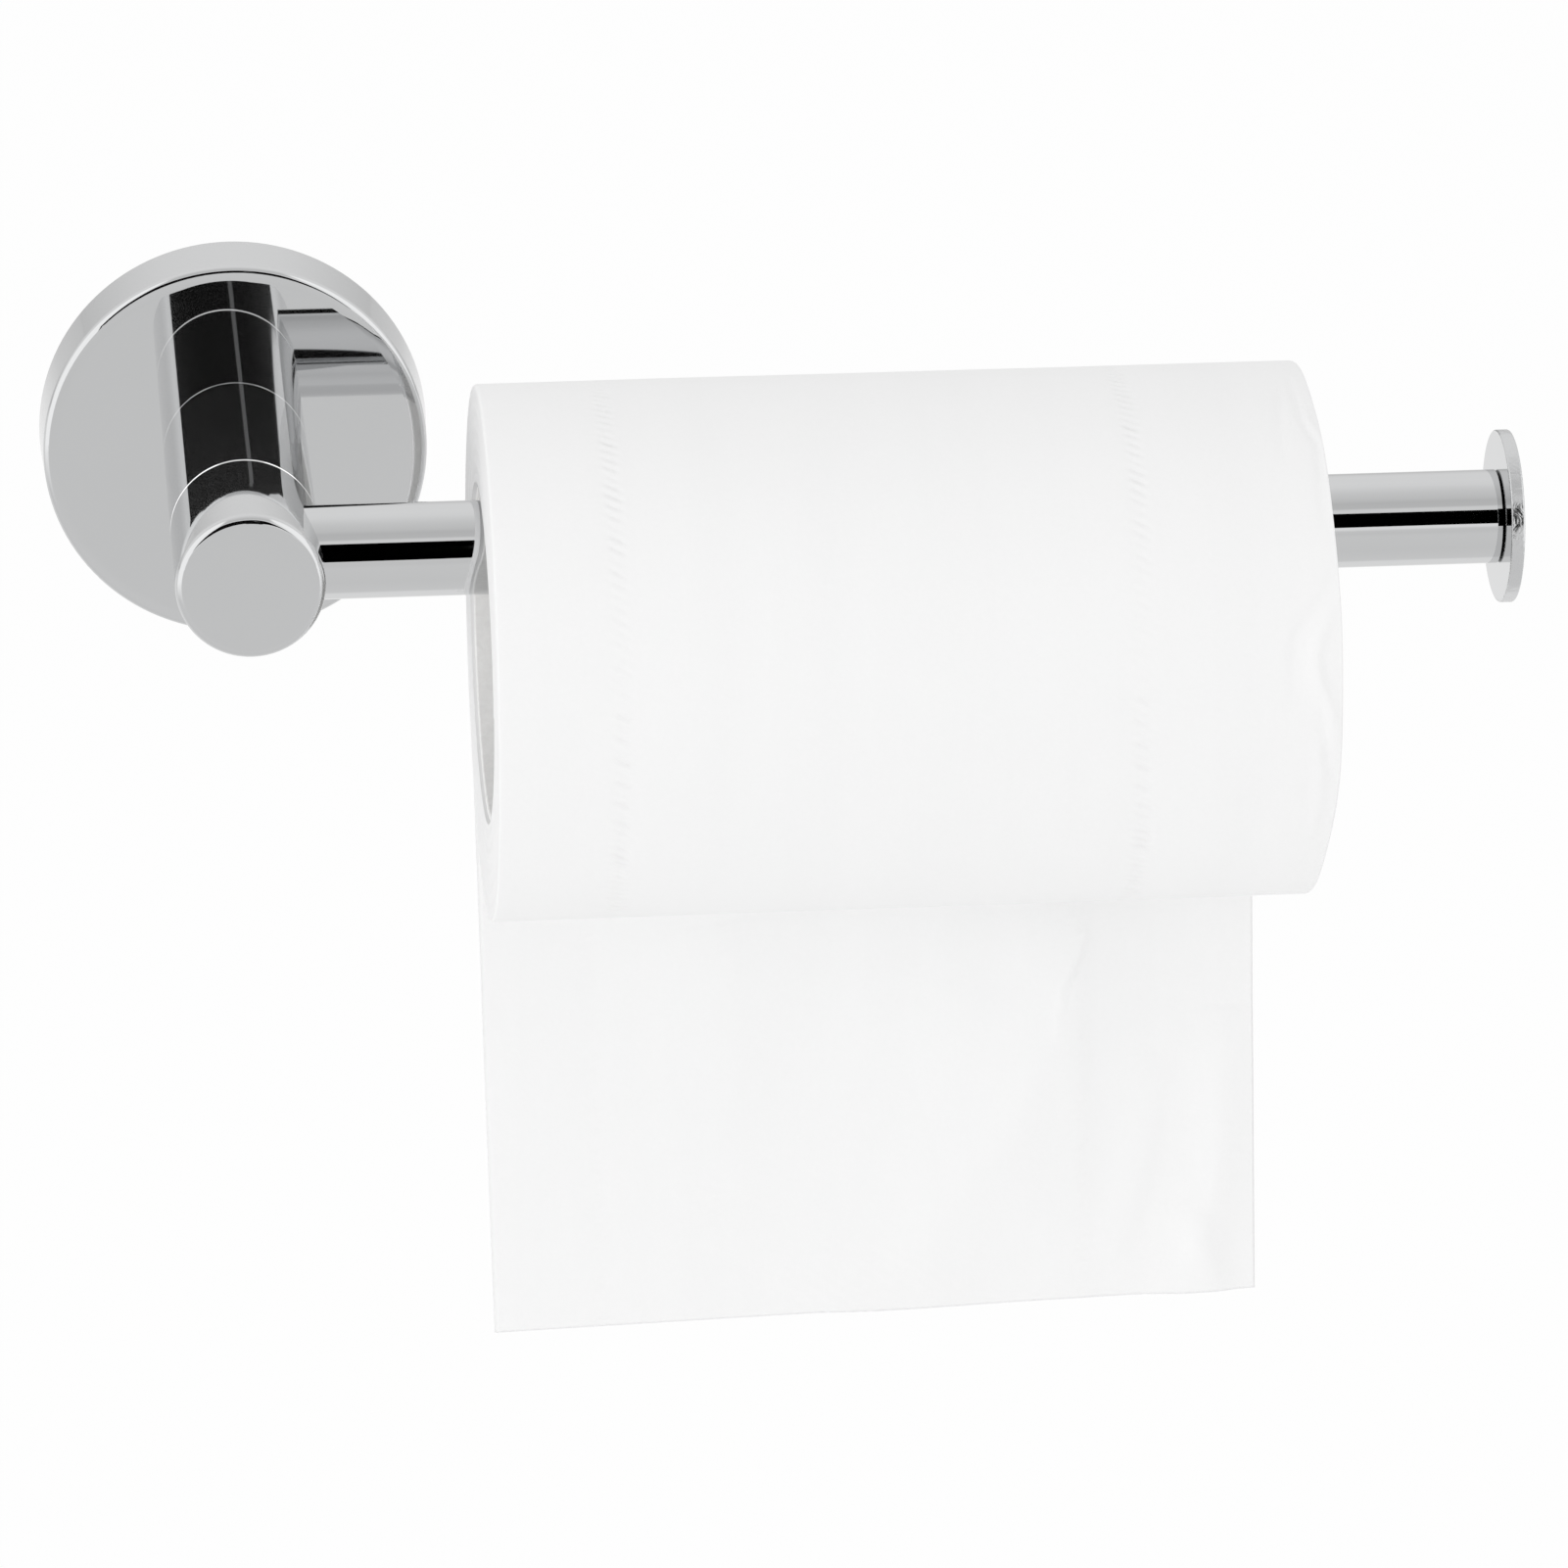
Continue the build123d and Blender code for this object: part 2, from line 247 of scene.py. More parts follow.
def ramp(tree, value, *stops):
    """Colour ramp of grey stops, given as (place, grey)."""
    node = put(tree, "ValToRGB", {"Fac": value})
    band = node.color_ramp
    band.elements[0].position, band.elements[1].position = stops[0][0], stops[-1][0]
    for place, _ in stops[1:-1]:
        band.elements.new(place)
    for element, (_, grey) in zip(band.elements, stops):
        element.color = (grey, grey, grey, 1)
    return node.outputs[0]


def new_group(name, inputs, outputs):
    """Node group with named sockets; returns its tree, input node and output node."""
    tree = bpy.data.node_groups.new(name, "ShaderNodeTree")
    for label, kind, value in inputs:
        socket = tree.interface.new_socket(label, in_out="INPUT", socket_type="NodeSocket" + kind)
        socket.default_value = value
    for label, kind in outputs:
        tree.interface.new_socket(label, in_out="OUTPUT", socket_type="NodeSocket" + kind)
    return tree, tree.nodes.new("NodeGroupInput"), tree.nodes.new("NodeGroupOutput")


def place_group(tree, group, **values):
    """Put a node group into a tree; an input's name has underscores for its spaces."""
    node = tree.nodes.new("ShaderNodeGroup")
    node.node_tree = group
    feed(tree, node, {key.replace("_", " "): value for key, value in values.items()})
    return node


def cleared_tree(owner):
    """Turn on the nodes of a material or a world, and empty them."""
    owner.use_nodes = True
    owner.node_tree.nodes.clear()
    return owner.node_tree


def new_material(name):
    """Empty node material with its Principled shader; returns material, tree and shader."""
    material = bpy.data.materials.new(name)
    tree = cleared_tree(material)
    shader = put(tree, "BsdfPrincipled")
    put(tree, "OutputMaterial", {"Surface": shader.outputs[0]})
    return material, tree, shader


def bump(tree, height, strength, distance):
    """Normal of a surface that rises and falls with a height."""
    return put(tree, "Bump", {"Height": height, "Strength": strength, "Distance": distance}).outputs[0]


# ---- Shared effects ------------------------------------------------------------


def handling_marks():
    """Node group: faint wiping marks and long ripples on handled metal."""
    name = "Handling Marks"
    if name in bpy.data.node_groups:
        return bpy.data.node_groups[name]
    tree, given, result = new_group(
        name,
        [("Smudge Scale", "Float", 45.0), ("Ripple Scale", "Float", 60.0)],
        [("Smudges", "Float"), ("Ripples", "Float")],
    )
    place = own_place(tree)
    cloud = noise(tree, place, given.outputs["Smudge Scale"], 6.0, Roughness=0.62)
    ripple = noise(tree, place, given.outputs["Ripple Scale"], 1.0)
    feed(tree, result, {"Smudges": ramp(tree, cloud, (0.42, 0.0), (0.72, 1.0)), "Ripples": ripple})
    return tree


def metal_grain():
    """Node group: the cast or turned grain of unpolished metal, with stains."""
    name = "Metal Grain"
    if name in bpy.data.node_groups:
        return bpy.data.node_groups[name]
    tree, given, result = new_group(
        name,
        [("Grain Scale", "Float", 1500.0), ("Stain Scale", "Float", 90.0)],
        [("Grain", "Float"), ("Stains", "Float")],
    )
    place = own_place(tree)
    grain = noise(tree, place, given.outputs["Grain Scale"], 5.0, Roughness=0.7)
    stains = noise(tree, place, given.outputs["Stain Scale"], 4.0, Roughness=0.55)
    feed(tree, result, {"Grain": grain, "Stains": ramp(tree, stains, (0.35, 0.0), (0.7, 1.0))})
    return tree


def paper_fibre():
    """Node group: fibres, soft streaks along the web and faint cloudiness of paper and board."""
    name = "Paper Fibre"
    if name in bpy.data.node_groups:
        return bpy.data.node_groups[name]
    tree, given, result = new_group(
        name,
        [("Fibre Scale", "Float", 900.0), ("Streak Scale", "Float", 130.0), ("Cloud Scale", "Float", 60.0)],
        [("Fibres", "Float"), ("Streaks", "Float"), ("Clouds", "Float"), ("Height", "Float")],
    )
    place = own_place(tree)
    fibres = noise(tree, place, given.outputs["Fibre Scale"], 6.0, Roughness=0.65, Distortion=0.6)
    # the web's streaks run round the roll and down the sheet
    along = put(tree, "VectorMath", {0: place, 1: (1.0, 0.07, 0.07)}, operation="MULTIPLY").outputs[0]
    streaks = noise(tree, along, given.outputs["Streak Scale"], 3.0)
    clouds = noise(tree, place, given.outputs["Cloud Scale"], 4.0)
    height = calculate(tree, "MULTIPLY_ADD", streaks, 0.5, fibres)
    feed(tree, result, {"Fibres": fibres, "Streaks": streaks, "Clouds": clouds, "Height": height})
    return tree


# ---- Materials -----------------------------------------------------------------


def polished_chrome(name, settings, film=0.0):
    """Mirror chrome with wiping marks that only soften its gloss, and a thin film where it is handled.

    Returns material, tree, shader and the socket of its colour.
    """
    material, tree, shader = new_material(name)
    marks = place_group(tree, handling_marks(), Smudge_Scale=38.0, Ripple_Scale=60.0)
    smudges = marks.outputs["Smudges"]
    clean, gloss = settings.chrome_colour, settings.chrome_roughness
    colour = mix_colour(tree, smudges, clean, [channel * 0.985 for channel in clean])
    feed(tree, shader, {
        "Base Color": colour,
        "Roughness": spread(tree, smudges, gloss, gloss + 0.015),
        "Normal": bump(tree, marks.outputs["Ripples"], 0.01, 0.2 * MM),
        "Metallic": 1,
        "Coat Weight": film,
        "Coat Roughness": 0.4,
    })
    return material, tree, shader, colour


def post_chrome(settings, joints):
    """Handled chrome of the post, with painted highlights: its colour is near white in a thin band at each
    joint where its pieces meet.
    """
    material, tree, shader, colour = polished_chrome("Post Chrome", settings, settings.film)
    y = put(tree, "SeparateXYZ", {0: own_place(tree)}).outputs["Y"]
    # painted highlight: within this distance of each joint the colour turns near white
    highlight_half_width, bright = 0.32 * MM, (0.97, 0.97, 0.97)
    for joint in joints:
        colour = mix_colour(tree, calculate(tree, "COMPARE", y, joint, highlight_half_width), colour, bright)
    feed(tree, shader, {"Base Color": colour})
    return material


def tube_chrome(settings, end):
    """Chrome of the arm, with a painted shadow line: near-black colour in a fine band where the stop disc
    meets it.
    """
    material, tree, shader, colour = polished_chrome("Polished Chrome", settings)
    x = put(tree, "SeparateXYZ", {0: own_place(tree)}).outputs["X"]
    # painted shadow: the colour ramps to near black over the last 0.2 mm of the arm, where the gap at the
    # stop disc lies in shade
    joint = spread(tree, x, 0.0, 1.0, end - 0.2 * MM, end - 0.15 * MM)
    feed(tree, shader, {"Base Color": mix_colour(tree, joint, colour, (0.02, 0.02, 0.02))})
    return material


def nicked_chrome(settings, axis_y, axis_z, radius):
    """Chrome of the stop disc, whose rim is nicked and dented all round by handling."""
    material, tree, shader, _ = polished_chrome("Nicked Chrome", settings)
    place = own_place(tree)
    split = put(tree, "SeparateXYZ", {0: place})
    y = calculate(tree, "SUBTRACT", split.outputs["Y"], axis_y)
    z = calculate(tree, "SUBTRACT", split.outputs["Z"], axis_z)
    squared = calculate(tree, "MULTIPLY_ADD", z, z, calculate(tree, "MULTIPLY", y, y))
    out = calculate(tree, "POWER", squared, 0.5)
    rim = spread(tree, out, 0.0, 1.0, radius - 0.3 * MM, radius - 0.1 * MM)
    dents = calculate(tree, "MULTIPLY", noise(tree, place, 450.0, 2.0, Distortion=1.5), rim)
    feed(tree, shader, {
        "Normal": bump(tree, dents, 0.5, 0.3 * MM),
        "Roughness": spread(tree, rim, settings.chrome_roughness, 0.2),
    })
    return material


def plain_metal(name, colour, stained, roughness, grain_scale):
    """Unpolished metal: cast, plated or turned."""
    material, tree, shader = new_material(name)
    marks = place_group(tree, metal_grain(), Grain_Scale=grain_scale, Stain_Scale=110.0)
    grain = marks.outputs["Grain"]
    feed(tree, shader, {
        "Base Color": mix_colour(tree, marks.outputs["Stains"], colour, stained),
        "Roughness": spread(tree, grain, roughness - 0.08, roughness + 0.1, 0.3, 0.7),
        "Normal": bump(tree, grain, 0.25, 0.06 * MM),
        "Metallic": 1,
    })
    return material


# Unpolished metals: clean colour, stained colour, roughness and scale of the grain
METALS = {
    "Die Cast Zinc": ((0.52, 0.53, 0.54), (0.4, 0.41, 0.43), 0.45, 1400.0),
    "Zinc Plated Steel": ((0.63, 0.63, 0.6), (0.55, 0.52, 0.42), 0.3, 2200.0),
    "Stainless Steel": ((0.5, 0.5, 0.5), (0.42, 0.42, 0.42), 0.26, 2600.0),
    "Turned Brass": ((0.78, 0.6, 0.3), (0.62, 0.45, 0.2), 0.3, 2000.0),
}


def soft_paper(name, colour):
    """Soft white paper with fibres, streaks along the web and a little cloudiness."""
    material, tree, shader = new_material(name)
    fibre = place_group(tree, paper_fibre(), Fibre_Scale=1900.0, Streak_Scale=150.0, Cloud_Scale=45.0)
    speck = spread(tree, fibre.outputs["Fibres"], 0.0, 0.35, 0.35, 0.65)
    streak = spread(tree, fibre.outputs["Streaks"], 0.0, 0.4, 0.3, 0.7)
    cloud = spread(tree, fibre.outputs["Clouds"], 0.0, 0.25, 0.3, 0.7)
    amount = calculate(tree, "ADD", calculate(tree, "ADD", speck, streak), cloud, use_clamp=True)
    feed(tree, shader, {
        "Base Color": mix_colour(tree, amount, colour, [channel * 0.975 for channel in colour]),
        "Normal": bump(tree, fibre.outputs["Height"], 0.3, 0.06 * MM),
        "Roughness": spread(tree, fibre.outputs["Fibres"], 0.86, 0.98, 0.35, 0.65),
        "Specular IOR Level": 0.12,
    })
    return material


def grey_board(settings):
    """Grey board of the core, with coarse fibres, and a painted glow: a faint emission that stands in for
    light seeping into it.
    """
    material, tree, shader = new_material("Grey Board")
    fibre = place_group(tree, paper_fibre(), Fibre_Scale=700.0, Streak_Scale=220.0, Cloud_Scale=160.0)
    board = settings.core_colour
    speck = spread(tree, fibre.outputs["Fibres"], 0.0, 1.0, 0.35, 0.62)
    feed(tree, shader, {
        "Base Color": mix_colour(tree, speck, board, [channel * 0.92 for channel in board]),
        "Normal": bump(tree, fibre.outputs["Height"], 0.4, 0.1 * MM),
        "Roughness": spread(tree, fibre.outputs["Clouds"], 0.8, 0.95, 0.3, 0.7),
        "Specular IOR Level": 0.2,
        # painted light: a faint white emission makes the board glow though it is no lamp
        "Emission Color": WHITE,
        "Emission Strength": settings.core_painted_glow,
    })
    return material


# ---- Mesh helpers ----------------------------------------------------------------


def finish(node, material):
    """Give a CAD node its material in every slot."""
    slots = node.data.materials
    slots.clear()
    slots.append(material)


def mesh_object(name, vertices, faces, material, smooth=0):
    """Object in the scene; as many of its first faces as smooth says are shaded smooth."""
    mesh = bpy.data.meshes.new(name)
    mesh.from_pydata(vertices, [], faces)
    mesh.polygons.foreach_set("use_smooth", [number < smooth for number in range(len(faces))])
    mesh.materials.append(material)
    mesh.update()
    made = bpy.data.objects.new(name, mesh)
    bpy.context.scene.collection.objects.link(made)
    return made


def grid_object(name, points, wrap_rows, wrap_columns, material, capped=False):
    """Smooth quad mesh through a grid of points, which may close on itself or be capped at its ends.

    A face looks along the cross product of the rows' direction and the columns' direction.
    """
    rows, columns = points.shape[:2]
    index = np.arange(rows * columns).reshape(rows, columns)
    down = np.roll(index, -1, 0) if wrap_rows else index[1:]
    here = index if wrap_rows else index[:-1]
    if wrap_columns:
        here_right, down_right = np.roll(here, -1, 1), np.roll(down, -1, 1)
    else:
        here, here_right = here[:, :-1], here[:, 1:]
        down, down_right = down[:, :-1], down[:, 1:]
    faces = np.stack([here, down, down_right, here_right], axis=-1).reshape(-1, 4).tolist()
    if capped:
        faces += [index[0].tolist(), index[-1][::-1].tolist()]
    return mesh_object(name, points.reshape(-1, 3).tolist(), faces, material, smooth=len(faces))


def turned_grid(section, count):
    """Turn a section into a grid: the angles round it, then a grid of each value in its rows."""
    section = np.array(section)
    angle = np.linspace(0, 2 * math.pi, count, endpoint=False)[None, :]
    return angle, *(np.repeat(section[:, i : i + 1], count, 1) for i in range(section.shape[1]))


def smooth_noise(seed, across, around, columns, rows, periodic=True):
    """Gentle random field on a grid, made of a few sine waves; around is in radians."""
    draw = np.random.default_rng(seed)
    field = np.zeros(np.broadcast(across, around).shape)
    layers = 7
    for _ in range(layers):
        turns = draw.integers(1, rows + 1) if periodic else draw.uniform(0.3, rows)
        waves = draw.uniform(0.2, columns)
        phase_a, phase_b = draw.uniform(0, 2 * math.pi, 2)
        field += np.sin(turns * around + phase_a) * np.sin(waves * across + phase_b)
    return field / layers


def steps(low, high, size):
    """Evenly spaced places from low to high, about this far apart."""
    return np.linspace(low, high, max(2, int(round((high - low) / size)) + 1))


def crimp_field(offset, along, pitch, depth):
    """Slanted strokes pressed in by a crimping wheel, as a height at this offset from its line."""
    half_width = 1.5 * MM
    slant = 0.55
    strokes = 211
    phase = (along + slant * offset) / pitch
    draw = np.random.default_rng(4)
    firmness = draw.uniform(0.3, 1.0, strokes)[np.round(phase).astype(int) % strokes]
    wave = 0.7 * np.cos(2 * math.pi * phase) + 0.3 * np.cos(4 * math.pi * phase)
    band = np.clip(1.5 * (1 - np.abs(offset) / half_width), 0, 1)
    return -0.5 * depth * (wave + 0.4) * firmness * band


def crease_field(x, s, points, height, left, right, fall=2):
    """Ridge (or groove) along a smooth line through a few points, this wide on its left and right."""
    line = np.array(points, float)
    nearest = np.full(np.broadcast(x, s).shape, np.inf)
    fade, side = np.zeros_like(nearest), np.zeros_like(nearest)
    samples = 14 * (len(line) - 1)
    for k in range(samples + 1):
        t = k / samples * (len(line) - 1)
        i = min(int(t), len(line) - 2)
        a, b = line[i], line[i + 1]
        before = line[i - 1] if i > 0 else 2 * a - b
        after = line[i + 2] if i + 2 < len(line) else 2 * b - a
        u = t - i
        first, second, third = b - before, 2 * before - 5 * a + 4 * b - after, 3 * a - before - 3 * b + after
        p = 0.5 * (2 * a + first * u + second * u**2 + third * u**3)
        ahead = 0.5 * (first + 2 * second * u + 3 * third * u**2)
        distance = np.hypot(x - p[0], s - p[1])
        closer = distance < nearest
        nearest = np.where(closer, distance, nearest)
        # the ridge fades out towards both ends of its line
        fade = np.where(closer, math.sin(math.pi * (k / samples)) ** 0.6, fade)
        side = np.where(closer, (x - p[0]) * ahead[1] - (s - p[1]) * ahead[0], side)
    # every line is given from its upper end down, so its direction tells left from right
    downward = line[-1][1] > line[0][1]
    width = np.where((side > 0) == downward, right, left)
    return height * fade * np.exp(-((nearest / width) ** fall))


# ---- Paper roll ------------------------------------------------------------------


def roll_point(x, radius, angle):
    """Point on the roll; angle 0 faces the front and a quarter turn faces up."""
    return np.stack(
        [x, AXIS_Y - radius * np.cos(angle), AXIS_Z + radius * np.sin(angle)], axis=-1
    )


# How much wider the pressed bore is from front to back than a round one
BORE_OVAL = 0.13


def pressed_oval(points):
    """Widen the roll's bore from front to back, as if the roll had been pressed from above."""
    across, up = points[..., 1] - AXIS_Y, points[..., 2] - AXIS_Z
    inside = np.clip((ROLL_RADIUS - np.hypot(across, up)) / (ROLL_RADIUS - CORE_RADIUS), 0, 1)
    pressed = points.copy()
    pressed[..., 1] = AXIS_Y + across * (1 + BORE_OVAL * inside)
    return pressed


# Folds in the roll's outer layer at its free end: place in from that end and turn up from the
# front, in degrees; then height, and width towards the post and towards the free end
END_FOLDS = (
    (((-0.4, 33), (1.2, 28.1), (3.5, 22.6), (5.3, 19.1), (6.0, 15.0), (6.2, 9.3), (5.8, 0)), -0.3, 0.9, 1.5),
    (((1.0, 24), (2.6, 17.5), (3.3, 13.0), (3.0, 8.9), (2.0, 4.2), (0.9, -1.2), (0.2, -8)), 0.36, 1.2, 0.7),
    (((2.8, 6), (2.2, -5.6), (1.5, -11.5), (0.3, -18)), -0.2, 0.5, 0.8),
    (((2.6, -4), (2.5, -8.8), (2.3, -23.1), (2.6, -32)), 0.16, 0.9, 0.7),
    (((2.2, 88), (2.4, 80.9), (2.2, 73.2), (1.6, 69)), -0.2, 0.5, 0.5),
    (((2.6, 73), (2.1, 67.4), (1.1, 62.2), (0.9, 56.7), (1.2, 52)), -0.26, 0.45, 0.6),
    (((1.6, 74), (1.2, 68), (0.4, 63)), 0.2, 0.5, 0.5),
    (((1.4, 58), (1.1, 53.2), (1.3, 46.5), (1.2, 40)), -0.18, 0.6, 1.2),
    (((3.2, 86), (3.9, 81.1), (4.9, 70.3), (5.4, 62.5), (5.4, 56)), -0.16, 0.8, 0.8),
    (((21.4, 76), (20.6, 72), (21.2, 67.5)), 0.12, 0.5, 0.5),
    (((3.0, 150), (4.5, 170), (3.6, 195)), 0.25, 0.9, 0.9),
    (((2.0, 230), (4.0, 250), (2.4, 275)), -0.22, 0.9, 0.9),
)


def crimp_lines(settings):
    """Places of the roll's two crimped lines along the arm."""
    return ROLL_LOW.x + settings.crimp_inset_left, ROLL_HIGH.x - settings.crimp_inset_right


def roll_profile(settings):
    """Rows of the roll's closed section: place along the roll, radius, and how far it is an end face."""
    start, end = ROLL_LOW.x, ROLL_HIGH.x
    bore = CORE_RADIUS + 0.06 * MM
    near_edge, far_edge = 0.4 * MM, 0.25 * MM
    face_step, plain_step, wrinkle_step, fine_step = 0.35 * MM, 1.5 * MM, 0.4 * MM, 0.24 * MM
    lines = crimp_lines(settings)
    rows = [(start, r, 1) for r in steps(bore, ROLL_RADIUS - near_edge, face_step)]
    for turn in np.linspace(0, math.pi / 2, 6)[1:]:
        rows.append(
            (start + near_edge * (1 - math.cos(turn)), ROLL_RADIUS - near_edge * (1 - math.sin(turn)), 0)
        )
    places, x = [], start + near_edge
    while x < end - far_edge:
        fine = min(abs(x - line) for line in lines) < 2 * MM
        wrinkled = x > end - 9 * MM
        x += fine_step if fine else wrinkle_step if wrinkled else plain_step
        places.append(x)
    rows += [(x, ROLL_RADIUS, 0) for x in places if x < end - far_edge]
    for turn in np.linspace(0, math.pi / 2, 8):
        rows.append(
            (end - far_edge * (1 - math.sin(turn)), ROLL_RADIUS - far_edge * (1 - math.cos(turn)), 0)
        )
    rows += [(end, r, -1) for r in steps(bore, ROLL_RADIUS - far_edge, face_step)[::-1][1:]]
    rows += [(x, bore, 0) for x in steps(start, end, 15 * MM)[::-1][1:-1]]
    return rows


def make_roll(settings):
    """Wound paper: crimped outer layer, folds at the free end and layered end faces."""
    angle, x, radius, face = turned_grid(roll_profile(settings), settings.steps_round)
    start, end = ROLL_LOW.x, ROLL_HIGH.x
    outer_layer = 2 * MM
    outside = np.clip((radius - (ROLL_RADIUS - outer_layer)) / outer_layer, 0, 1)
    turn = (angle + math.pi) % (2 * math.pi) - math.pi
    along = angle * ROLL_RADIUS
    lift = 0.05 * MM * smooth_noise(3, x / (9 * MM), angle, 2.0, 5)
    pitch = 2 * math.pi * ROLL_RADIUS / round(2 * math.pi * ROLL_RADIUS / settings.crimp_pitch)
    degrees = np.degrees(turn)
    for line in crimp_lines(settings):
        wander = 0.12 * MM * np.sin(3 * angle + line / MM)
        if line > (start + end) / 2:
            wander = wander - 0.7 * MM * np.exp(-((degrees / 24) ** 2))
        # the marks are faintest a little above the front of the roll
        flattened = 0.4 * np.exp(-(((degrees - 23) / 22) ** 2))
        strength = 0.85 + 0.1 * np.sin(2 * angle + line / MM) - flattened
        lift = lift + strength * crimp_field(x - line - wander, along, pitch, settings.crimp_depth)
    for points, height, inward, outward in END_FOLDS:
        line = [((end - inset * MM), math.radians(turned) * ROLL_RADIUS) for inset, turned in points]
        middle = np.mean([turned for _, turned in points])
        wrapped = (degrees - middle + 180) % 360 - 180 + middle
        lift = lift + crease_field(
            x, np.radians(wrapped) * ROLL_RADIUS, line, height * MM, inward * MM, outward * MM
        )
    radius = radius + lift * outside
    # end faces: each turn of paper stands a little in or out, and the winding is a spiral
    band = 0.9 * MM
    spiral = (radius - CORE_RADIUS) / band + angle / (2 * math.pi)
    layers = np.sin(2 * math.pi * spiral) * 0.03 + np.sin(2 * math.pi * spiral * 0.37 + 1) * 0.06
    layers += 0.06 * smooth_noise(8, radius / (2 * MM), angle, 3.0, 4)
    # the free end's outer turns are pushed out unevenly
    loose, reach = 6 * MM, 8 * MM
    ruffle = smooth_noise(21, radius / loose, angle, 1.0, 9)
    ruffle = ruffle * np.clip((radius - ROLL_RADIUS + loose) / loose, 0, 1)
    edge = np.clip((x - (end - reach)) / reach, 0, 1) ** 2
    x = x - layers * MM * face + (0.5 * ruffle) * MM * edge
    # the free end isn't cut quite square, and its turns lean over this length
    skewed = 20 * MM
    lean = 0.35 * (1 - np.cos(angle)) + 0.1
    lean = lean + 0.5 * np.exp(-(((degrees + 50) / 24) ** 2)) - 0.5 * np.exp(-(((degrees + 86) / 12) ** 2))
    x = x - lean * MM * np.clip((x - (end - skewed)) / skewed, 0, 1)
    points = pressed_oval(roll_point(x, radius, np.broadcast_to(angle, x.shape)))
    material = soft_paper("Wound Paper", settings.paper_colour)
    roll = grid_object("wound_paper", points, True, True, material)
    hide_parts("paper_roll")
    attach(roll, "roll")


# ---- Cardboard core ----------------------------------------------------------------


def make_core(settings):
    """Spiral-wound board tube with a lapped seam and slightly soft edges."""
    start, end = CORE_LOW.x, CORE_HIGH.x
    wall, edge = 0.8 * MM, 0.18 * MM
    inner = CORE_RADIUS - wall
    rows = [(start + edge, CORE_RADIUS)]
    rows += [(x, CORE_RADIUS) for x in steps(start, end, 8 * MM)[1:-1]]
    rows += [(end - edge, CORE_RADIUS), (end, CORE_RADIUS - edge), (end, inner + edge), (end - edge, inner)]
    rows += [(x, inner) for x in steps(start + edge + 0.08 * MM, end - edge - 0.08 * MM, 1.2 * MM)[::-1]]
    rows += [(start + edge, inner), (start, inner + edge), (start, CORE_RADIUS - edge)]
    angle, x, radius = turned_grid(rows, 240)
    inside = radius < inner + wall / 2
    # the lapped seam stands up along a spiral, which goes round once in this lead
    lead, lap_height, lap_width = 62 * MM, 0.16 * MM, 0.7 * MM
    phase = (x - start) / lead - angle / (2 * math.pi)
    seam = phase - np.round(phase)
    radius = radius + np.where(inside, lap_height * np.exp(-((seam * lead / lap_width) ** 2)), 0)
    radius = radius + 0.04 * MM * smooth_noise(5, x / (20 * MM), angle, 2.0, 4)
    points = pressed_oval(roll_point(x, radius, np.broadcast_to(angle, x.shape)))
    core = grid_object("core_tube", points, True, True, grey_board(settings))
    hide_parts("cardboard_core")
    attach(core, "roll")


# ---- Loose sheet -------------------------------------------------------------------

# Folds of the loose sheet: place across from the roll's post end and drop below the roll's axis;
# then height towards the viewer, width to the left and to the right, and how the sides fall away
# (1 is a crisp crease, 2 a soft wave)
SHEET_FOLDS = (
    (
        ((81, 50), (80, 59), (78.8, 67.5), (74.5, 75.8), (69.8, 84.8), (62, 95.1), (49, 113)),
        2.3, 11.0, 10.0, 1.4,
    ),
    (((80.2, 46), (80, 67), (80.2, 82), (80.2, 114)), 0.25, 3.0, 1.4, 2),
    (((81.6, 55), (80.0, 59.6), (78.9, 61.8), (77.9, 65.2), (77, 71)), 0.5, 0.9, 0.5, 2),
    (((90.4, 74), (89.8, 82.4), (88.6, 89.5), (86.8, 96.7), (83.6, 106)), 0.45, 3.2, 1.8, 2),
    (((100.4, 68), (99.7, 80), (98.4, 93.8), (94.6, 107.5), (91, 117)), 1.0, 3.4, 4.5, 1.6),
    (((94, 96), (97, 103), (100, 114)), 0.5, 2.4, 2.0, 2),
    (((30, 52), (32, 70), (29, 92)), 0.35, 9.0, 9.0, 2),
)


def closed_sheet(name, middle, thickness, material):
    """Sheet with its two faces and its cut edges, from the grid of its middle surface."""
    rows, columns = middle.shape[:2]
    out = np.cross(np.gradient(middle, axis=0), np.gradient(middle, axis=1))
    out *= thickness / 2 / np.linalg.norm(out, axis=-1, keepdims=True)
    index = np.arange(rows * columns).reshape(rows, columns)
    here, below = index[:-1, :-1], index[1:, :-1]
    right, below_right = index[:-1, 1:], index[1:, 1:]
    front = np.stack([here, below, below_right, right], axis=-1).reshape(-1, 4)
    back = front[:, ::-1] + rows * columns
    border = np.concatenate([index[0, :-1], index[:-1, -1], index[-1, :0:-1], index[:0:-1, 0]])
    follow = np.roll(border, -1)
    cut = np.stack([border, follow, follow + rows * columns, border + rows * columns], axis=-1)
    vertices = np.concatenate([(middle + out).reshape(-1, 3), (middle - out).reshape(-1, 3)]).tolist()
    faces = np.concatenate([front, back, cut]).tolist()
    return mesh_object(name, vertices, faces, material, smooth=len(front) + len(back))


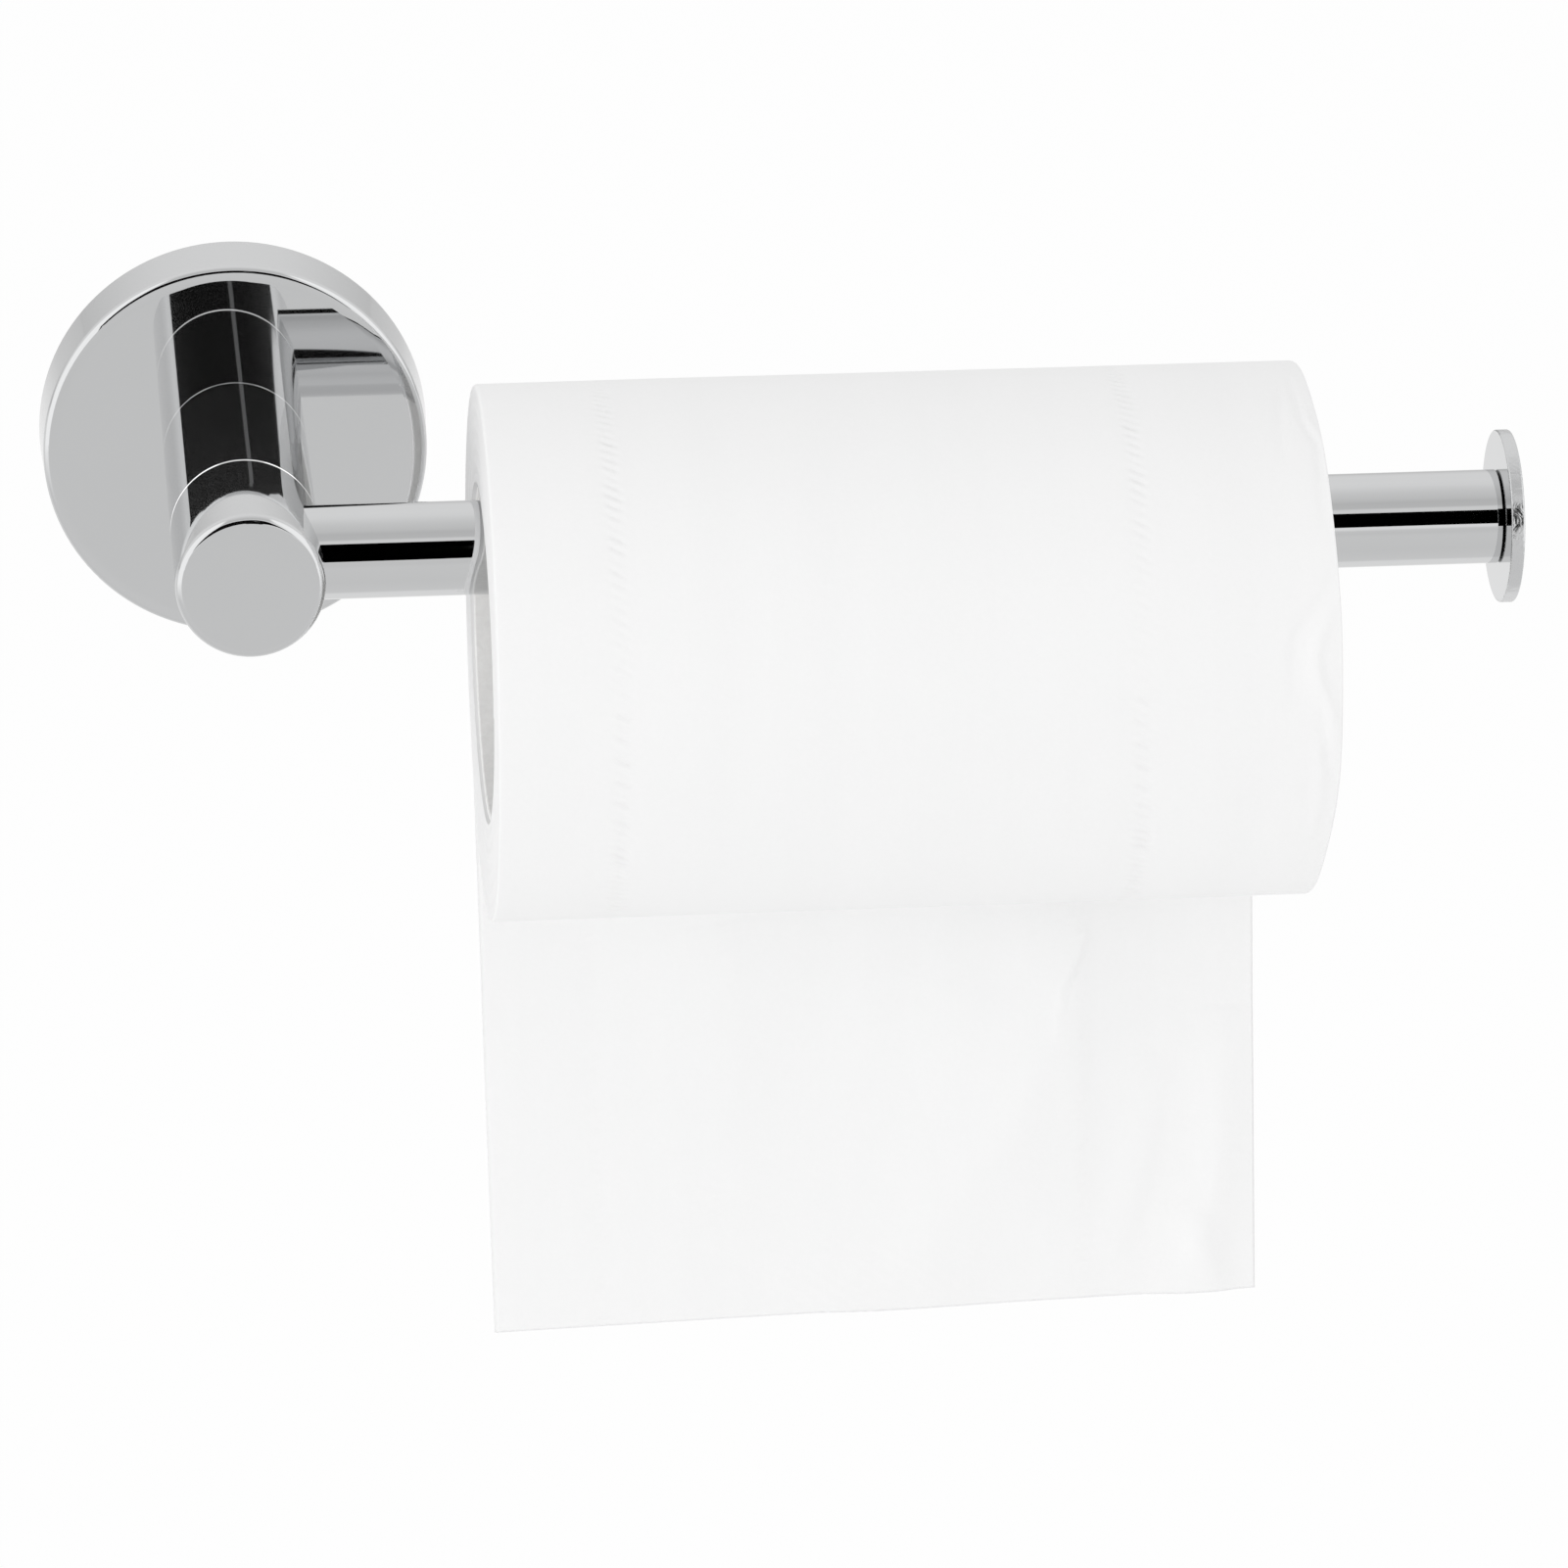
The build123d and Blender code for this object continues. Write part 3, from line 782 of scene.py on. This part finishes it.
def make_sheet(settings):
    """One soft sheet that leaves the back of the roll, hangs, and curls a little at its foot."""
    lean = math.radians(1.26)
    width = (SHEET_HIGH.x - SHEET_LOW.x - (SHEET_HIGH.z - SHEET_LOW.z) * math.sin(lean)) / (
        math.cos(lean) - math.sin(lean) ** 2
    )
    drop = (SHEET_HIGH.z - SHEET_LOW.z - width * math.sin(lean)) / math.cos(lean)
    # length that still lies on the roll, and the drop over which the lean sets in
    wrap, settle = 11 * MM, 12 * MM
    roll_width = ROLL_HIGH.x - ROLL_LOW.x
    trimmed = (roll_width - width) / 2
    lines = (settings.crimp_inset_left - trimmed, roll_width - settings.crimp_inset_right - trimmed)
    plain_step, fine_step = 0.7 * MM, 0.26 * MM
    places, x = [], 0.0
    while x < width:
        places.append(x)
        fine = min(abs(x - line) for line in lines) < 1.6 * MM
        x += fine_step if fine else plain_step
    across = np.array([*places, width])[None, :]
    down = steps(-wrap, drop, 0.42 * MM)[:, None]
    hang = np.clip(down, 0, None)
    lean_now = lean * np.clip(hang / settle, 0, 1)
    x = ROLL_LOW.x + across * np.cos(lean_now) + hang * np.sin(lean_now)
    z = AXIS_Z + across * np.sin(lean_now) - hang * np.cos(lean_now)
    y = np.broadcast_to(SHEET_LOW.y + settings.sheet_thickness, x.shape).copy()
    # above the tangent line the sheet lies on the roll
    seat = SHEET_LOW.y - AXIS_Y
    turned = np.clip(-down, 0, None) / seat
    y = np.where(down < 0, AXIS_Y + seat * np.cos(turned) - 0.2 * MM * np.clip(-down / wrap, 0, 1), y)
    z = np.where(down < 0, AXIS_Z + seat * np.sin(turned), z)
    x = np.where(down < 0, ROLL_LOW.x + across, x)
    # the folds set in below the roll, and the foot curls towards the front
    folds_from, folds_over = 34 * MM, 20 * MM
    curl_from, curl_over = 60 * MM, 50 * MM
    free = np.clip((hang - folds_from) / folds_over, 0, 1)
    depth = 0.35 * smooth_noise(14, across / (30 * MM), hang / (30 * MM), 2.0, 2, periodic=False)
    for points, height, left, right, fall in SHEET_FOLDS:
        depth = depth + crease_field(across / MM, hang / MM, points, height, left, right, fall)
    curl = 1.6 * np.clip((hang - curl_from) / curl_over, 0, 1) ** 2
    y = y - (depth + curl) * MM * free
    for line in lines:
        y = y - 0.3 * crimp_field(across - line, down, settings.crimp_pitch, settings.crimp_depth)
    # painted light: the sheet's paper is lighter than the roll's, standing in for light passing through it
    material = soft_paper("Loose Sheet Paper", settings.sheet_colour_painted_lighter)
    middle = np.stack([x, y, z], axis=-1)
    sheet = closed_sheet("loose_sheet", middle, settings.sheet_thickness, material)
    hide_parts("paper_tail")
    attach(sheet, "loose_sheet")


# ---- Wall screws ---------------------------------------------------------------------

NECK_RADIUS = 1.7 * MM
# Where the thread begins, from the wall's face, and its crest as a share of the head's radius
THREAD_START = 0.3 * MM
CREST_SHARE = 0.525
POINT_LENGTH = 5 * MM
# Width, length and depth of the cross recess's two slots
RECESS = (0.9 * MM, 4 * MM, 1.4 * MM)


def screw_points(settings, centre_x):
    """Grid of one screw's surface, from the middle of its recessed head down to its point."""
    head_top, reach = SCREWS_LOW.y, SCREWS_HIGH.y
    head_radius = (SCREWS_HIGH.z - SCREWS_LOW.z) / 2
    crest = head_radius * CREST_SHARE
    cone_end = head_top + head_radius - NECK_RADIUS
    edge = 0.08 * MM
    profile = [(head_top, r) for r in steps(0.05 * MM, head_radius - edge, edge)]
    top_rows = len(profile)
    profile += [(head_top + edge, head_radius)]
    profile += [(y, head_radius - (y - head_top)) for y in steps(head_top + 0.2 * MM, cone_end, 0.4 * MM)]
    profile += [(y, NECK_RADIUS) for y in steps(cone_end, THREAD_START, 0.4 * MM)[1:]]
    head_rows = len(profile)
    profile += [(y, NECK_RADIUS) for y in steps(THREAD_START, reach, 0.15 * MM)[1:]]
    angle, y, radius = turned_grid(profile, 96)
    row = np.arange(len(profile))[:, None]
    # cross recess
    along, aside = radius * np.cos(angle), radius * np.sin(angle)
    slot_width, slot_length, slot_depth = RECESS
    outside = np.minimum(
        np.maximum(np.abs(along) - slot_length / 2, np.abs(aside) - slot_width / 2),
        np.maximum(np.abs(aside) - slot_length / 2, np.abs(along) - slot_width / 2),
    )
    sunk = np.clip(0.5 - outside / (0.25 * MM), 0, 1)
    y = y + slot_depth * sunk * (row < top_rows)
    # thread, which runs in at the neck and out at the point
    phase = y / settings.thread_pitch - angle / (2 * math.pi)
    flank = 0.3
    ridge = np.clip(1 - np.abs(phase - np.round(phase)) / flank, 0, 1)
    run_in = np.clip((y - THREAD_START) / settings.thread_pitch, 0, 1)
    slim = np.clip((reach - y) / POINT_LENGTH, 0.02, 1)
    root = crest - settings.thread_depth
    core = NECK_RADIUS + (root - NECK_RADIUS) * run_in
    threaded = (core + (crest - root) * ridge * run_in) * slim
    radius = np.where(row >= head_rows, threaded, radius)
    return np.stack([centre_x + radius * np.cos(angle), y, radius * np.sin(angle)], axis=-1)


def make_screws(settings):
    """Two countersunk wood screws with a cross recess and a cut thread."""
    head_radius = (SCREWS_HIGH.z - SCREWS_LOW.z) / 2
    material = bpy.data.materials["Zinc Plated Steel"]
    made = []
    for centre_x in (SCREWS_LOW.x + head_radius, SCREWS_HIGH.x - head_radius):
        points = screw_points(settings, centre_x)
        made.append(grid_object("threaded_wall_screws", points, False, True, material, capped=True))
    # the frame has both screws as one piece, so the second joins the first
    first, second = (screw.data for screw in made)
    mesh = bmesh.new()
    mesh.from_mesh(first)
    mesh.from_mesh(second)
    mesh.to_mesh(first)
    mesh.free()
    bpy.data.objects.remove(made[1])
    screws = made[0]
    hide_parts("wall_screws")
    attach(screws, "holder")


# ---- Operators -----------------------------------------------------------------------


class HOLDER_OT_finish_chrome(bpy.types.Operator):
    """Give the flange, post, arm and stop disc their polished chrome"""

    bl_idname = "holder.finish_chrome"
    bl_label = "Finish Chrome Parts"

    def execute(self, context):
        settings = context.scene.holder_metal
        flange_chrome, *_ = polished_chrome("Handled Chrome", settings, settings.film)
        finish(NODES["wall_flange"], flange_chrome)
        front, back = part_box("post_neck")
        post = post_chrome(settings, (front.y, back.y))
        finish(NODES["post_neck"], post)
        finish(NODES["post_head"], post)
        finish(NODES["arm_tube"], tube_chrome(settings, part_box("arm_tube")[1].x))
        low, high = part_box("end_disc")
        disc = nicked_chrome(settings, (low.y + high.y) / 2, (low.z + high.z) / 2, (high.z - low.z) / 2)
        finish(NODES["end_disc"], disc)
        return {"FINISHED"}


class HOLDER_OT_finish_fixings(bpy.types.Operator):
    """Give the bracket, bolts, pins, studs and inserts their cast, plated and turned metals"""

    bl_idname = "holder.finish_fixings"
    bl_label = "Finish Fixings"

    def execute(self, context):
        for finish_name, names in FIXING_FINISHES.items():
            material = plain_metal(finish_name, *METALS[finish_name])
            for name in names:
                finish(NODES[name], material)
        return {"FINISHED"}


class HOLDER_OT_make_screws(bpy.types.Operator):
    """Make the two threaded wall screws"""

    bl_idname = "holder.make_screws"
    bl_label = "Make Wall Screws"

    def execute(self, context):
        make_screws(context.scene.holder_metal)
        return {"FINISHED"}


class HOLDER_OT_make_core(bpy.types.Operator):
    """Make the roll's spiral-wound board core"""

    bl_idname = "holder.make_core"
    bl_label = "Make Cardboard Core"

    def execute(self, context):
        make_core(context.scene.holder_paper)
        return {"FINISHED"}


class HOLDER_OT_make_roll(bpy.types.Operator):
    """Make the wound paper with its crimped lines and folded end"""

    bl_idname = "holder.make_roll"
    bl_label = "Make Paper Roll"

    def execute(self, context):
        make_roll(context.scene.holder_paper)
        return {"FINISHED"}


class HOLDER_OT_make_sheet(bpy.types.Operator):
    """Make the loose sheet that hangs behind the roll"""

    bl_idname = "holder.make_sheet"
    bl_label = "Make Loose Sheet"

    def execute(self, context):
        make_sheet(context.scene.holder_paper)
        return {"FINISHED"}


# ---- Stage ---------------------------------------------------------------------------


def toward(azimuth, elevation):
    """Unit vector from the holder's middle; azimuth 0 is the front and 90 the stop disc's side."""
    a, e = math.radians(azimuth), math.radians(elevation)
    return Vector((math.sin(a) * math.cos(e), -math.cos(a) * math.cos(e), math.sin(e)))


def lay_floor(place, material):
    """Square floor that is centred at a place."""
    half = 6
    corners = [(-half, -half, 0), (half, -half, 0), (half, half, 0), (-half, half, 0)]
    floor = mesh_object("floor", corners, [(0, 1, 2, 3)], material)
    floor.location = place


# Brightness of the studio round the holder: degrees from the front over the top, and brightness
SURROUND = (
    (-180, 0.66), (-172, 0.7), (-166, 0.86), (-160, 0.95), (-150, 0.92), (-138, 0.86), (-120, 0.94),
    (-105, 0.96), (-97, 0.82), (-60, 0.79), (-22, 0.81), (-14, 0.77), (-8, 0.79), (-4.5, 1.0), (0, 1.0),
    (37, 0.88), (43, 0.88), (47, 0.68), (60, 0.66), (68, 0.73), (77, 0.77), (87, 0.81), (97, 0.87),
    (108, 0.93), (122, 0.95), (150, 0.92), (162, 0.84), (171, 0.72), (180, 0.62),
)


def studio_surround(side_light):
    """Node group: brightness of the room that the chrome mirrors, for each direction from the holder."""
    name = "Studio Surround"
    if name in bpy.data.node_groups:
        return bpy.data.node_groups[name]
    tree, given, result = new_group(
        name,
        [("Direction", "Vector", (0, 0, 1)), ("Side Light", "Float", side_light)],
        [("Brightness", "Float")],
    )
    unit = put(tree, "VectorMath", {0: given.outputs["Direction"]}, operation="NORMALIZE").outputs[0]
    split = put(tree, "SeparateXYZ", {0: unit})
    front = calculate(tree, "MULTIPLY", split.outputs["Y"], -1.0)
    turn = calculate(tree, "ARCTAN2", split.outputs["Z"], front)
    place = spread(tree, turn, 0.0, 1.0, -math.pi, math.pi)
    over = ramp(tree, place, *(((degrees + 180) / 360, bright) for degrees, bright in SURROUND))
    # the tall panels stand on both sides, in front of the wall and not below the holder
    side = calculate(tree, "ABSOLUTE", split.outputs["X"])
    panel = spread(tree, side, 0.0, 1.0, 0.36, 0.44)
    raised = spread(tree, split.outputs["Z"], 0.0, 1.0, -0.42, -0.22)
    panel = calculate(tree, "MULTIPLY", panel, raised)
    panel = calculate(tree, "MULTIPLY", panel, spread(tree, front, 0.0, 1.0, -0.05, 0.05))
    lit = put(tree, "Mix", {0: panel, 2: over, 3: given.outputs["Side Light"]}, data_type="FLOAT")
    feed(tree, result, {"Brightness": lit.outputs[0]})
    return tree


def white_light(tree, kind, strength):
    """Background or Emission node that gives white light."""
    return put(tree, kind, {"Color": WHITE, "Strength": strength})


def mix_light(tree, factor, first, second):
    """Blend two shader nodes: the first where the factor is 0, the second where it is 1."""
    return put(tree, "MixShader", {"Fac": factor, 1: first.outputs[0], 2: second.outputs[0]})


def seen_directly(tree, path):
    """1 for what the camera sees by itself or through something clear, otherwise 0."""
    return calculate(tree, "MAXIMUM", path.outputs["Is Camera Ray"], path.outputs["Is Transmission Ray"])


def white_world(settings):
    """White to the eye, a graded room to the chrome and an even fill light on everything else."""
    world = bpy.data.worlds.new("Studio")
    tree = cleared_tree(world)
    path = put(tree, "LightPath")
    fill = white_light(tree, "Background", settings.fill_strength)
    white = white_light(tree, "Background", 1.0)
    direction = put(tree, "TexCoord").outputs["Generated"]
    room = place_group(tree, studio_surround(settings.side_light), Direction=direction)
    mirrored = white_light(tree, "Background", room.outputs["Brightness"])
    mixed = mix_light(tree, seen_directly(tree, path), fill, white)
    glossy = mix_light(tree, path.outputs["Is Glossy Ray"], mixed, mirrored)
    put(tree, "OutputWorld", {"Surface": glossy.outputs[0]})
    bpy.context.scene.world = world


def floor_material(settings, middle):
    """Pale floor that looks white, takes a shadow, and isn't seen from below."""
    material, tree, shader = new_material("Pale Floor")
    feed(tree, shader, {"Base Color": (0.95, 0.95, 0.95, 1), "Roughness": 0.9})
    path = put(tree, "LightPath")
    nearly_white = mix_light(tree, 0.95, shader, white_light(tree, "Emission", 1.0))
    lit = mix_light(tree, seen_directly(tree, path), shader, nearly_white)
    place = put(tree, "NewGeometry")
    away = put(
        tree, "VectorMath", {0: place.outputs["Position"], 1: tuple(middle)}, operation="SUBTRACT"
    ).outputs[0]
    room = place_group(tree, studio_surround(settings.side_light), Direction=away)
    mirrored = white_light(tree, "Emission", room.outputs["Brightness"])
    surface = mix_light(tree, path.outputs["Is Glossy Ray"], lit, mirrored)
    one_sided = mix_light(tree, place.outputs["Backfacing"], surface, put(tree, "BsdfTransparent"))
    output = next(node for node in tree.nodes if node.bl_idname == "ShaderNodeOutputMaterial")
    feed(tree, output, {"Surface": one_sided.outputs[0]})
    return material


def card_material(name, glow):
    """Dull card that only the chrome mirrors."""
    material = bpy.data.materials.new(name)
    tree = cleared_tree(material)
    put(tree, "OutputMaterial", {"Surface": white_light(tree, "Emission", glow).outputs[0]})
    return material


# Black card round the camera: azimuth and the elevations of its lower and upper edge, in degrees
CARD_EDGE = (
    (-25, -1.5, 36.5), (-17, -1.5, 36.5), (-8, -6, 36.5), (0, -7.5, 36.5), (3, -6.5, 36.5),
    (6, -3, 36.5), (10, 1, 36.5), (12.5, 1.5, 36), (15, -0.5, 35), (17.5, -1.5, 33),
)
# Narrow grey gap in it, seen in the post alone: left, right, lower and upper edge, and its glow
CARD_GAP = (4.0, 6.0, 14, 23)
CARD_GAP_GLOW = 0.16
# The cards' middle, a little in front of the wall
CARD_MIDDLE = Vector((0, -0.05, 0))


def card_strip(name, edge, distance, material):
    """Card bent round the holder between a lower and an upper edge; never seen or felt directly."""
    turns = np.arange(edge[0][0], edge[-1][0] + 0.25, 0.5)
    low, high = (np.interp(turns, [e[0] for e in edge], [e[i] for e in edge]) for i in (1, 2))
    rise = np.radians(low + (high - low) * np.linspace(0, 1, 19)[:, None])
    swing = np.radians(turns)[None, :]
    # the edges follow the angle over the top, not the height
    rise = np.arctan(np.tan(rise) * np.cos(swing))
    points = np.stack(
        [np.sin(swing) * np.cos(rise), -np.cos(swing) * np.cos(rise), np.sin(rise)], axis=-1
    )
    card = grid_object(name, points * distance + np.array(CARD_MIDDLE), False, False, material)
    for flag in ("camera", "diffuse", "shadow", "transmission", "volume_scatter"):
        setattr(card, "visible_" + flag, False)


def set_cards(distance):
    """Cards that give the arm its dark stripe and the post its dark back."""
    card_strip("dark_card", CARD_EDGE, distance, card_material("Black Card", 0.0))
    left, right, low, high = CARD_GAP
    edge = ((left, low, high), (right, low, high))
    # it stands just inside the black card
    card_strip("card_gap", edge, distance * 0.98, card_material("Grey Card", CARD_GAP_GLOW))


# Soft lamps: azimuth, elevation and share of the key lamp's power
LAMPS = {
    "key_lamp": (-55, 5, 1.0),
    "left_lamp": (-88, 8, 0.28),
    "right_lamp": (60, 5, 0.25),
    "low_lamp": (5, -24, 0.7),
    "top_lamp": (0, 78, 0.6),
}
LAMP_DISTANCE, LAMP_SIZE = 1.6, 1.2


def area_lamp(name, place, target, power):
    """Soft square lamp that points at a target and isn't mirrored."""
    light = bpy.data.lights.new(name, "AREA")
    light.shape, light.size, light.energy = "SQUARE", LAMP_SIZE, power
    lamp = bpy.data.objects.new(name, light)
    lamp.location = place
    lamp.rotation_euler = (target - place).to_track_quat("-Z", "Y").to_euler()
    lamp.visible_glossy = False
    lamp.visible_camera = False
    bpy.context.scene.collection.objects.link(lamp)


# Where the camera stands, its lens and film width, and how far it looks down and right, in degrees
CAMERA_PLACE = Vector((-28.35, -1058.18, 342.15)) * MM
CAMERA_LENS, FILM_WIDTH = 192.75, 36
LOOK_DOWN, LOOK_RIGHT = 20.388, 5.478


def set_camera(scene):
    """Camera in front of the holder, a little to its left and above it."""
    camera_data = bpy.data.cameras.new("camera")
    camera_data.sensor_width = FILM_WIDTH
    camera_data.lens = CAMERA_LENS
    camera = bpy.data.objects.new("camera", camera_data)
    camera.location = CAMERA_PLACE
    camera.rotation_euler = Euler((math.radians(90 - LOOK_DOWN), 0, math.radians(-LOOK_RIGHT)))
    scene.collection.objects.link(camera)
    scene.camera = camera


class HOLDER_OT_set_stage(bpy.types.Operator):
    """Set the pale floor, soft light, dark cards and camera"""

    bl_idname = "holder.set_stage"
    bl_label = "Set Stage"

    def execute(self, context):
        settings = context.scene.holder_stage
        middle = (CAD_LOW + CAD_HIGH) / 2
        white_world(settings)
        floor_place = Vector((middle.x, middle.y, CAD_LOW.z - settings.floor_drop))
        lay_floor(floor_place, floor_material(settings, middle))
        set_cards(settings.card_distance)
        for name, (azimuth, elevation, share) in LAMPS.items():
            place = middle + toward(azimuth, elevation) * LAMP_DISTANCE
            area_lamp(name, place, middle, settings.key_power * share)
        set_camera(context.scene)
        context.scene.view_settings.view_transform = "Standard"
        return {"FINISHED"}


class HOLDER_PT_sidebar(bpy.types.Panel):
    """Lists the holder's pieces, their settings and the stage"""

    bl_idname = "HOLDER_PT_sidebar"
    bl_label = "Toilet Paper Holder"
    bl_space_type = "VIEW_3D"
    bl_region_type = "UI"
    bl_category = "Paper Holder"

    def draw(self, context):
        for operator in OPERATORS:
            self.layout.operator(operator.bl_idname)
        for group in (context.scene.holder_metal, context.scene.holder_paper, context.scene.holder_stage):
            column = self.layout.column(align=True)
            for key in group.__annotations__:
                column.prop(group, key)


OPERATORS = (
    HOLDER_OT_set_stage,
    HOLDER_OT_finish_chrome,
    HOLDER_OT_finish_fixings,
    HOLDER_OT_make_screws,
    HOLDER_OT_make_core,
    HOLDER_OT_make_roll,
    HOLDER_OT_make_sheet,
)
SETTINGS = {
    "holder_metal": HolderMetalSettings,
    "holder_paper": HolderPaperSettings,
    "holder_stage": HolderStageSettings,
}


def register():
    for group in SETTINGS.values():
        bpy.utils.register_class(group)
    for key, group in SETTINGS.items():
        setattr(bpy.types.Scene, key, PointerProperty(type=group))
    for operator in OPERATORS:
        bpy.utils.register_class(operator)
    bpy.utils.register_class(HOLDER_PT_sidebar)


def unregister():
    bpy.utils.unregister_class(HOLDER_PT_sidebar)
    for operator in reversed(OPERATORS):
        bpy.utils.unregister_class(operator)
    for key, group in SETTINGS.items():
        delattr(bpy.types.Scene, key)
        bpy.utils.unregister_class(group)


def main():
    """Make everything in order."""
    register()
    bpy.ops.holder.set_stage()
    bpy.ops.holder.finish_chrome()
    bpy.ops.holder.finish_fixings()
    bpy.ops.holder.make_screws()
    bpy.ops.holder.make_core()
    bpy.ops.holder.make_roll()
    bpy.ops.holder.make_sheet()


if __name__ == "__main__":
    main()
